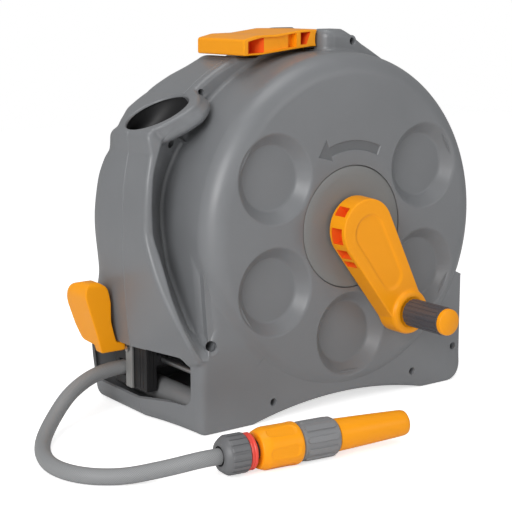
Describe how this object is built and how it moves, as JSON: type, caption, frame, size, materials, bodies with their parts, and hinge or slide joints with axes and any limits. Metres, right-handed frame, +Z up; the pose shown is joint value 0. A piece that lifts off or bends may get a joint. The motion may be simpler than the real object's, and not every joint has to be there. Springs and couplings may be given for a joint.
{
  "type": "enclosed hose reel",
  "caption": "Enclosed garden hose reel with a crank drum, folding carry handle, sliding hose guide, park hole for the nozzle, and a hose with connector and nozzle.",
  "frame": {"origin": "middle of the base of the reel's bounding box without the free hose and nozzle, on the floor", "axes": "+Z up, -Y out of the crank side, drum axis along Y, +X to the right seen from the crank side"},
  "size_m": [0.5836, 0.3436, 0.4135],
  "materials": {
    "case_grey": "fine spark texture, mid grey",
    "bright_yellow": "satin, warm yellow",
    "dark_grey": "satin, dark grey",
    "black_plastic": "satin, black",
    "drum_grey": "satin, plain moulded",
    "steel": "zinc plated",
    "red_plastic": "satin, signal red",
    "hose_grey": "smooth soft plastic over a knitted braid, mid grey",
    "seal_rubber": "smooth, black"
  },
  "bodies": {
    "housing": {"front_case": "case_grey", "rear_case": "case_grey", "nozzle_socket": "black_plastic", "case_screw_1": "steel", "case_screw_2": "steel", "case_screw_3": "steel", "case_screw_4": "steel", "case_screw_5": "steel", "case_screw_6": "steel", "case_screw_7": "steel", "case_screw_8": "steel", "case_screw_9": "steel", "front_bush": "dark_grey", "rear_bush": "dark_grey", "inlet_spindle": "dark_grey", "inlet_nut": "dark_grey", "spindle_seal_1": "seal_rubber", "spindle_seal_2": "seal_rubber", "handle_pin": "steel", "guide_rail": "steel", "roller_axle": "steel", "hose_lead": "hose_grey"},
    "drum": {"drum_core": "drum_grey", "front_flange": "drum_grey", "rear_flange": "drum_grey", "hose_pack": "hose_grey", "drum_tail": "dark_grey", "hub_disc": "case_grey", "crank_arm": "bright_yellow", "crank_screw": "steel", "knob_spindle": "steel"},
    "knob": {"knob_grip": "dark_grey", "knob_cap": "bright_yellow"},
    "handle": {"carry_handle": "bright_yellow"},
    "guide": {"guide_carriage": "black_plastic", "guide_bracket": "case_grey", "guide_screw": "steel", "guide_lever": "bright_yellow", "free_hose": "hose_grey", "hose_nut": "case_grey", "connector_core": "dark_grey", "connector_ring": "red_plastic", "nozzle_grip": "case_grey"},
    "roller": {"guide_roller": "case_grey"},
    "release": {"connector_body": "bright_yellow"},
    "jet": {"nozzle_barrel": "bright_yellow"}
  },
  "joints": [
    {"name": "drum_turn", "type": "hinge", "parent": "housing", "child": "drum", "pos_m": [0.0285, -0.0542, 0.202], "axis": [0, 1, 0], "continuous": true},
    {"name": "knob_turn", "type": "hinge", "parent": "drum", "child": "knob", "pos_m": [0.08997, -0.1142, 0.10363], "axis": [0, 1, 0], "continuous": true},
    {"name": "handle_lift", "type": "hinge", "parent": "housing", "child": "handle", "pos_m": [0.0425, 0.0483, 0.4025], "axis": [0, 1, 0], "range_deg": [0, 95]},
    {"name": "guide_slide", "type": "slide", "parent": "housing", "child": "guide", "axis": [0, 1, 0], "range_m": [-0.06, 0.02]},
    {"name": "roller_turn", "type": "hinge", "parent": "housing", "child": "roller", "pos_m": [-0.1555, 0.0508, 0.0275], "axis": [0, 1, 0], "continuous": true},
    {"name": "connector_release", "type": "slide", "parent": "guide", "child": "release", "axis": [-0.9925, 0.1219, 0], "range_m": [0, 0.0025], "stiffness_N_per_m": 800},
    {"name": "jet_twist", "type": "hinge", "parent": "guide", "child": "jet", "pos_m": [-0.2205, -0.1592, 0.0215], "axis": [0.9925, -0.1219, 0], "range_deg": [0, 300]}
  ]
}
